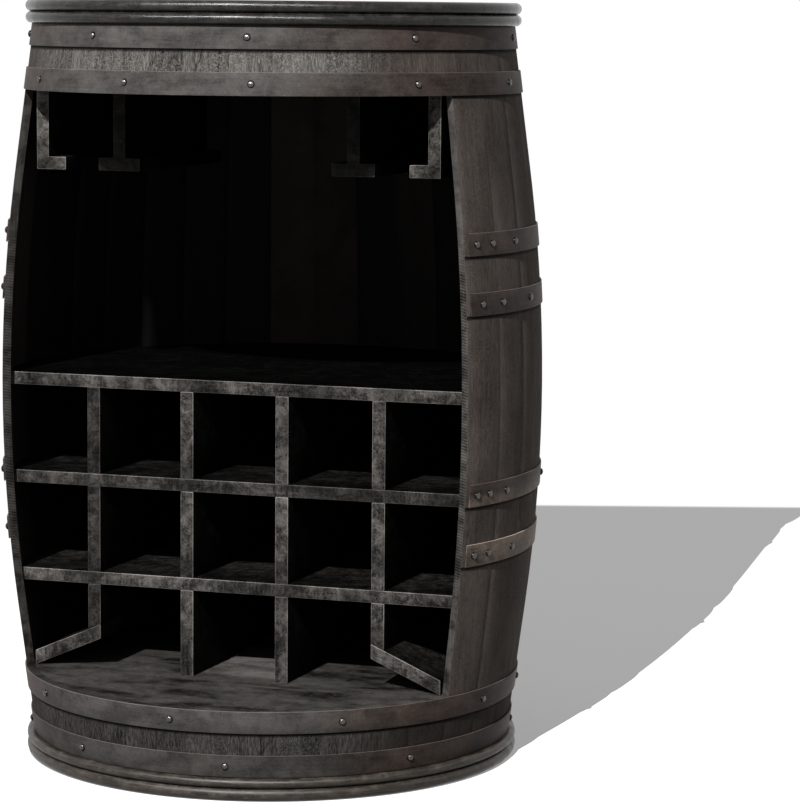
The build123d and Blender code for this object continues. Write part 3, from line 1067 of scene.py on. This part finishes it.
class CASK_OT_rails(bpy.types.Operator):
    """Finish the stemware rails and the battens that carry them"""

    bl_idname = "cask.rails"
    bl_label = "Stemware rails"

    def execute(self, context):
        for node, finish in zip(SIDE_RAILS, ("left rail", "right rail")):
            finished_board(node, finish, "rack_wood")
        for node in MID_RAILS:
            finished_board(node, "dark rail", "rack_wood")
        for node in BATTENS:
            finished_board(node, "inner", "inner_wood")
        return {"FINISHED"}


class CASK_OT_floor(bpy.types.Operator):
    """Finish the floor board, the bearers under it and the base"""

    bl_idname = "cask.floor"
    bl_label = "Floor and base"

    def execute(self, context):
        finished_board("floor_panel", "deck", "inner_wood")
        finished_board("base_panel", "panel", "panel_wood")
        for node in ("bearer_left", "bearer_right"):
            finished_board(node, "inner", "inner_wood")
        return {"FINISHED"}


# ---------------------------------------------------------------- stage
CAMERA_PLACE = Vector((1.3307, -3.5554, 0.8868))
CAMERA_FACING = math.radians(18.208)
CAMERA_PITCH = math.radians(7.039)
CAMERA_ROLL = math.radians(0.469)
CAMERA_LENS = 140.93
CAMERA_SENSOR = 36.0
KEY_BEARING = math.radians(-2)      # where the key light comes from, and how high it stands
KEY_HEIGHT = math.radians(38.7)
KEY_POWER = 3.8
KEY_WIDTH = math.radians(1.5)
FLOOR_LAMP_PLACE = (0.33, -2.3, 1.9)
FLOOR_LAMP_POWER = 60.0
FLOOR_LAMP_RADIUS = 0.02
STRIP_REACH = 2.6         # from the cask's middle to the long lamp that gives the beads a sheen
STRIP_SIZE = (3.4, 0.16)
STRIP_POWER = 200.0
SKY_LIGHT = 0.15
SHADOW_LIFT = 0.27        # light added to the paper, so that the shadow on it is grey and not black
SHADOW_END = 5.70         # from the camera to where the shadow leaves the paper floor
SHADOW_BLUR = 0.015       # half the depth over which it does
PAPER_SIZE = 120
PAPER_WHITE = (0.95, 0.95, 0.95)
PAPER_BOUNCE = (0.18, 0.18, 0.18)    # how light the paper is for the light it throws back
WHITE = (1, 1, 1)


class CASK_OT_stage(bpy.types.Operator):
    """Set up the floor, the lamps, the world and the camera"""

    bl_idname = "cask.stage"
    bl_label = "Stage"

    def execute(self, context):
        floor = self.paper()
        self.lamps(floor)
        self.surroundings()
        self.camera()
        context.scene.view_settings.view_transform = "Standard"
        return {"FINISHED"}

    def paper(self):
        deselect()
        bpy.ops.mesh.primitive_plane_add(size=PAPER_SIZE, location=(0, 0, 0))
        floor = bpy.context.object
        floor.name = "paper_floor"
        bpy.ops.object.mode_set(mode="EDIT")
        bpy.ops.mesh.subdivide(number_cuts=3)
        bpy.ops.object.mode_set(mode="OBJECT")
        finish = new_finish("white paper")
        x, y, _ = finish.parts(finish.place())
        ahead = (x - CAMERA_PLACE.x) * -math.sin(CAMERA_FACING) \
            + (y - CAMERA_PLACE.y) * math.cos(CAMERA_FACING)
        beyond = finish.between(ahead, SHADOW_END - SHADOW_BLUR, SHADOW_END + SHADOW_BLUR)
        path = finish.add("ShaderNodeLightPath", output="Is Camera Ray")
        seen = self.seen(finish, path)
        near = finish.add("ShaderNodeBsdfDiffuse", (), {
            "Color": finish.mixed(seen, PAPER_BOUNCE, PAPER_WHITE)})
        lift = finish.add("ShaderNodeEmission", (), {
            "Color": WHITE, "Strength": seen * SHADOW_LIFT})
        near = finish.add("ShaderNodeAddShader", (), {0: near, 1: lift})
        white = finish.add("ShaderNodeEmission", (), {"Color": WHITE, "Strength": 1.0})
        glossy = Wire(finish, path.socket.node.outputs["Is Glossy Ray"])
        plain = finish.sum("MAXIMUM", beyond * seen, glossy)
        shader = finish.add("ShaderNodeMixShader", (), {0: plain, 1: near, 2: white})
        floor.data.materials.append(finish.show(shader))
        return floor

    @staticmethod
    def seen(finish, camera):
        """1 for a ray that shows the background: from the camera, or off or through a piece."""
        outputs = camera.socket.node.outputs
        glossy = Wire(finish, outputs["Is Glossy Ray"])
        through = Wire(finish, outputs["Is Transmission Ray"])
        return finish.sum("MAXIMUM", finish.sum("MAXIMUM", camera, glossy), through)

    def lamps(self, floor):
        deselect()
        bpy.ops.object.light_add(
            type="SUN", rotation=(math.pi / 2 - KEY_HEIGHT, 0, KEY_BEARING))
        key = bpy.context.object
        key.name = key.data.name = "key light"
        key.data.energy = KEY_POWER
        key.data.angle = KEY_WIDTH
        self.lit_only(key, [floor], "EXCLUDE")
        self.floor_lamp(floor)
        self.strip_lamp()

    def floor_lamp(self, floor):
        """A lamp for the floor alone, as bright far off as near, which draws the shadow on it."""
        bpy.ops.object.light_add(type="POINT", radius=FLOOR_LAMP_RADIUS, location=FLOOR_LAMP_PLACE)
        under = bpy.context.object
        under.name = under.data.name = "floor lamp"
        under.data.energy = 1.0
        self.lit_only(under, [floor], "INCLUDE")
        light = Finish(under.data)
        even = light.add("ShaderNodeLightFalloff", (), {"Strength": FLOOR_LAMP_POWER},
                         output="Constant")
        light.show(light.add("ShaderNodeEmission", (), {"Strength": even}),
                   "ShaderNodeOutputLight")

    def strip_lamp(self):
        """A long low lamp over the front, for the polished pieces alone."""
        aim = Vector((0, -math.cos(KEY_HEIGHT), math.sin(KEY_HEIGHT))) * STRIP_REACH
        bpy.ops.object.light_add(
            type="AREA", location=aim + Vector((0, 0, CASK_HEIGHT / 2)),
            rotation=(math.pi / 2 - KEY_HEIGHT, 0, 0))
        strip_light = bpy.context.object
        strip_light.name = strip_light.data.name = "strip lamp"
        strip_light.data.shape = "RECTANGLE"
        strip_light.data.size, strip_light.data.size_y = STRIP_SIZE
        strip_light.data.energy = STRIP_POWER
        polished = [piece for piece in bpy.data.objects
                    if piece.name.startswith("bead_") and piece.name.endswith("_bent")
                    or piece.name.endswith("_rivets_domed")]
        self.lit_only(strip_light, polished, "INCLUDE")

    @staticmethod
    def lit_only(lamp, pieces, state):
        """Let a lamp light these pieces alone, or all but these."""
        group = bpy.data.collections.new(lamp.name + " receivers")
        for piece in pieces:
            group.objects.link(piece)
        for link in group.collection_objects:
            link.light_linking.link_state = state
        lamp.light_linking.receiver_collection = group

    def surroundings(self):
        world = bpy.data.worlds.new("soft sky")
        bpy.context.scene.world = world
        light = Finish(world)
        seen = self.seen(light, light.add("ShaderNodeLightPath", output="Is Camera Ray"))
        sky = light.add("ShaderNodeBackground", (), {
            "Color": WHITE, "Strength": SKY_LIGHT + seen * (1 - SKY_LIGHT)})
        light.show(sky, "ShaderNodeOutputWorld")

    def camera(self):
        deselect()
        bpy.ops.object.camera_add(location=CAMERA_PLACE)
        camera = bpy.context.object
        camera.data.lens = CAMERA_LENS
        camera.data.sensor_width = CAMERA_SENSOR
        camera.matrix_world = (
            Matrix.Translation(CAMERA_PLACE)
            @ Matrix.Rotation(CAMERA_FACING, 4, "Z")
            @ Matrix.Rotation(math.pi / 2 - CAMERA_PITCH, 4, "X")
            @ Matrix.Rotation(CAMERA_ROLL, 4, "Z"))
        bpy.context.scene.camera = camera


class CASK_PT_panel(bpy.types.Panel):
    """Lists the cask's pieces and settings"""

    bl_idname = "CASK_PT_panel"
    bl_label = "Cask drinks cabinet"
    bl_space_type = "VIEW_3D"
    bl_region_type = "UI"
    bl_category = "Cask"

    def draw(self, context):
        for group in (sizes(), colours()):
            for name in group.__annotations__:
                self.layout.prop(group, name)
        for operator in PIECES:
            self.layout.operator(operator.bl_idname)


PIECES = (CASK_OT_staves, CASK_OT_short_staves, CASK_OT_hoops, CASK_OT_rivets, CASK_OT_beads,
          CASK_OT_serving_top, CASK_OT_rack, CASK_OT_rails, CASK_OT_floor, CASK_OT_stage)
CLASSES = (CaskSizes, CaskColours, *PIECES, CASK_PT_panel)


def register():
    for item in CLASSES:
        bpy.utils.register_class(item)
    bpy.types.Scene.cask_sizes = bpy.props.PointerProperty(type=CaskSizes)
    bpy.types.Scene.cask_colours = bpy.props.PointerProperty(type=CaskColours)


def unregister():
    del bpy.types.Scene.cask_colours
    del bpy.types.Scene.cask_sizes
    for item in reversed(CLASSES):
        bpy.utils.unregister_class(item)


def main():
    register()
    for operator in PIECES:
        group, name = operator.bl_idname.split(".")
        getattr(getattr(bpy.ops, group), name)()


if __name__ == "__main__":
    main()
